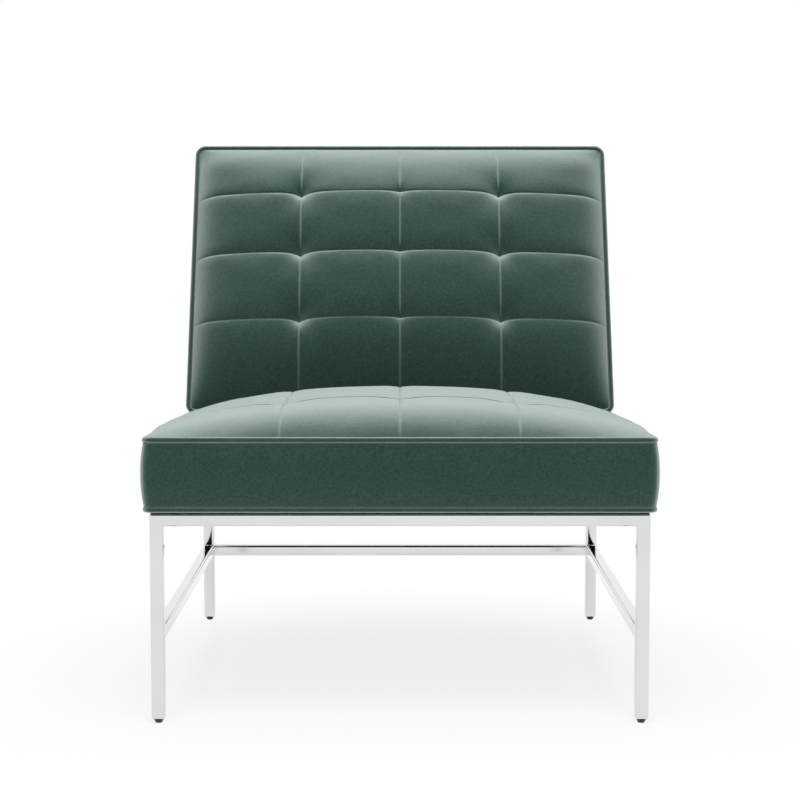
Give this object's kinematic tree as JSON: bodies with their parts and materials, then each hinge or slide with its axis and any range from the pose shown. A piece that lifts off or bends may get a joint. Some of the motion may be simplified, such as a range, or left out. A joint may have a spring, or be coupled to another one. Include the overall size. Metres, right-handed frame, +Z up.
{
  "type": "slipper chair",
  "caption": "Low armless lounge chair: square tube base with stretchers, boxed seat and leaning wedge back, both tufted in velvet with piped seams.",
  "frame": {"origin": "on the floor, at the middle of the part's bounding box seen from above", "axes": "+X to the right seen from the front, +Y towards the back, +Z up"},
  "size_m": [0.7156, 0.8338, 0.8322],
  "materials": {
    "chrome": "polished",
    "glide_nylon": "satin",
    "plate_steel": "zinc plated",
    "spring_steel": "oiled",
    "hardwood": "planed, unfinished",
    "foam": "open-cell foam",
    "velvet": "cut pile velvet",
    "dust_cloth": "non-woven cloth",
    "webbing": "woven elastic band"
  },
  "bodies": {
    "root": {"leg_front_left": "chrome", "glide_front_left": "glide_nylon", "leg_front_right": "chrome", "glide_front_right": "glide_nylon", "top_rail_front": "chrome", "leg_rear_left": "chrome", "glide_rear_left": "glide_nylon", "leg_rear_right": "chrome", "glide_rear_right": "glide_nylon", "top_rail_rear": "chrome", "top_rail_left": "chrome", "stretcher_left": "chrome", "top_rail_right": "chrome", "stretcher_right": "chrome", "stretcher_rear": "chrome", "corner_plate_front_left": "plate_steel", "seat_screw_front_left": "plate_steel", "corner_plate_front_right": "plate_steel", "seat_screw_front_right": "plate_steel", "corner_plate_rear_right": "plate_steel", "seat_screw_rear_right": "plate_steel", "corner_plate_rear_left": "plate_steel", "seat_screw_rear_left": "plate_steel", "seat_rail_left": "hardwood", "seat_rail_right": "hardwood", "seat_rail_front": "hardwood", "seat_rail_rear": "hardwood", "corner_block_front_left": "hardwood", "corner_block_front_right": "hardwood", "corner_block_rear_right": "hardwood", "corner_block_rear_left": "hardwood", "seat_spring_1": "spring_steel", "seat_spring_2": "spring_steel", "seat_spring_3": "spring_steel", "seat_spring_4": "spring_steel", "seat_spring_5": "spring_steel", "seat_foam": "foam", "seat_cover": "velvet", "seat_welt_top": "velvet", "seat_welt_bottom": "velvet", "dust_cover": "dust_cloth", "back_side_left": "hardwood", "back_side_right": "hardwood", "back_rail_top": "hardwood", "back_rail_bottom": "hardwood", "back_web_1": "webbing", "back_web_2": "webbing", "back_web_3": "webbing", "back_foam": "foam", "back_cover": "velvet", "back_welt_front": "velvet", "back_welt_rear": "velvet", "back_rear_panel": "velvet", "back_tongue_left": "plate_steel", "tongue_screw_left_front": "plate_steel", "tongue_screw_left_rear": "plate_steel", "back_tongue_right": "plate_steel", "tongue_screw_right_front": "plate_steel", "tongue_screw_right_rear": "plate_steel"}
  },
  "joints": []
}
